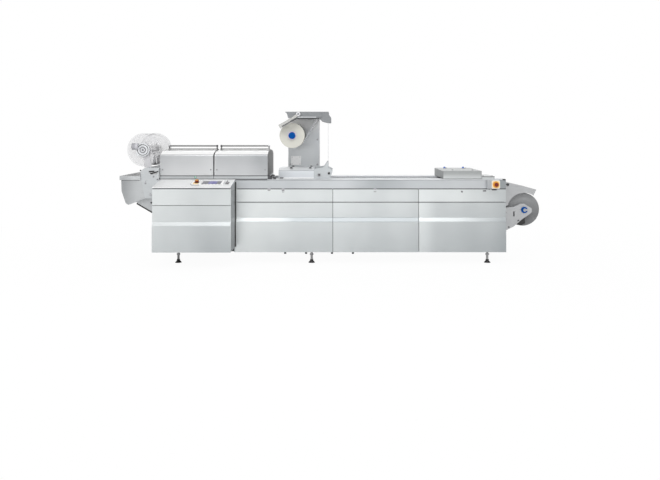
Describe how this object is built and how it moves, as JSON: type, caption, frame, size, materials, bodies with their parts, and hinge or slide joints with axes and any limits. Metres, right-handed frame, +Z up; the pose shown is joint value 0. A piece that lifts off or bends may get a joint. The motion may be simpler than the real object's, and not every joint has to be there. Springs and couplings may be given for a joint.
{
  "type": "thermoforming tray sealer line",
  "caption": "Thermoforming tray sealer line: film reels, forming, loading, sealing, cutting under hinged lids, and a discharge trough with a trim winder.",
  "frame": {"origin": "on the floor, under the middle of the machine's bounding box", "axes": "+X along the machine from the discharge end to the reel of bottom film, +Y away from the operator, +Z up"},
  "size_m": [5.183, 1.276, 1.851],
  "materials": {
    "covers": "fine brushed stainless steel, satin",
    "frame_steel": "bead-blasted stainless steel",
    "lid_sheet": "brushed stainless sheet",
    "dark_plate": "dark grey satin plate",
    "station_metal": "matt milled aluminium",
    "tower_steel": "brushed stainless steel, in shade",
    "roller_steel": "ground steel",
    "gearmotor_paint": "pale grey paint",
    "clear_plastic": "clear polycarbonate sheet",
    "base_film": "clear formed film",
    "lid_film_reel": "wound film, cream",
    "lid_film_sheet": "clear film",
    "base_film_reel": "wound film, grey",
    "blue_plastic": "moulded blue plastic",
    "stop_yellow": "yellow moulded plate",
    "panel_face": "pale panel frame",
    "switch_metal": "polished metal"
  },
  "bodies": {
    "machine": {"front_lower_cover_1": "covers", "front_lower_cover_2": "covers", "front_lower_cover_3": "covers", "front_upper_cover_1": "covers", "front_upper_cover_2": "covers", "front_upper_cover_3": "covers", "rear_lower_covers": "covers", "rear_upper_covers": "covers", "left_end_cover": "covers", "right_end_cover": "covers", "cabinet_lower_cover": "covers", "cabinet_upper_cover": "covers", "cabinet_housing": "covers", "operator_desk": "covers", "machine_frame": "frame_steel", "front_levelling_feet": "frame_steel", "rear_levelling_feet": "frame_steel", "front_side_rail": "frame_steel", "rear_side_rail": "frame_steel", "web_deck": "frame_steel", "hood_sill": "frame_steel", "end_stop_case": "frame_steel", "bottom_reel_arms": "frame_steel", "splice_table": "frame_steel", "discharge_frame": "frame_steel", "discharge_trough": "frame_steel", "trough_stays": "frame_steel", "film_inlet_cheeks": "frame_steel", "sealing_station": "station_metal", "forming_station": "station_metal", "heating_cover": "station_metal", "tower_column": "tower_steel", "tower_head": "tower_steel", "winder_brackets": "tower_steel", "guide_rollers": "roller_steel", "top_reel_spindle": "roller_steel", "winder_gearmotor": "gearmotor_paint", "formed_web": "base_film", "lidding_film": "lid_film_sheet", "bottom_reel_clamp": "blue_plastic", "desk_emergency_stop": "stop_yellow", "end_emergency_stop": "stop_yellow", "touch_panel": "panel_face", "key_switch": "switch_metal"},
    "left_lid": {"left_cutting_lid": "lid_sheet", "left_lid_end_plate": "dark_plate"},
    "right_lid": {"right_cutting_lid": "lid_sheet", "right_lid_end_plate": "dark_plate"},
    "follower_arm": {"reel_follower_arm": "tower_steel"},
    "lidding_reel": {"top_film_reel": "lid_film_reel", "top_reel_chuck": "blue_plastic"},
    "base_reel": {"bottom_film_reel": "base_film_reel", "bottom_reel_shaft": "roller_steel"},
    "trim_winder": {"winder_spool": "roller_steel", "winder_discs": "clear_plastic"}
  },
  "joints": [
    {"name": "left_lid_hinge", "type": "hinge", "parent": "machine", "child": "left_lid", "pos_m": [-1.787, 0.596, 1.083], "axis": [-1, 0, 0], "range_deg": [0, 65]},
    {"name": "right_lid_hinge", "type": "hinge", "parent": "machine", "child": "right_lid", "pos_m": [-1.121, 0.596, 1.083], "axis": [-1, 0, 0], "range_deg": [0, 65]},
    {"name": "follower_arm_pivot", "type": "hinge", "parent": "machine", "child": "follower_arm", "pos_m": [-0.421, -0.154, 1.822], "axis": [0, 1, 0], "range_deg": [0, 35]},
    {"name": "lidding_reel_spin", "type": "hinge", "parent": "machine", "child": "lidding_reel", "pos_m": [-0.506, 0.19, 1.556], "axis": [0, 1, 0], "continuous": true},
    {"name": "base_reel_spin", "type": "hinge", "parent": "machine", "child": "base_reel", "pos_m": [2.382, 0.19, 0.633], "axis": [0, 1, 0], "continuous": true},
    {"name": "trim_winder_spin", "type": "hinge", "parent": "machine", "child": "trim_winder", "pos_m": [-2.343, 0.19, 1.378], "axis": [0, 1, 0], "continuous": true}
  ]
}
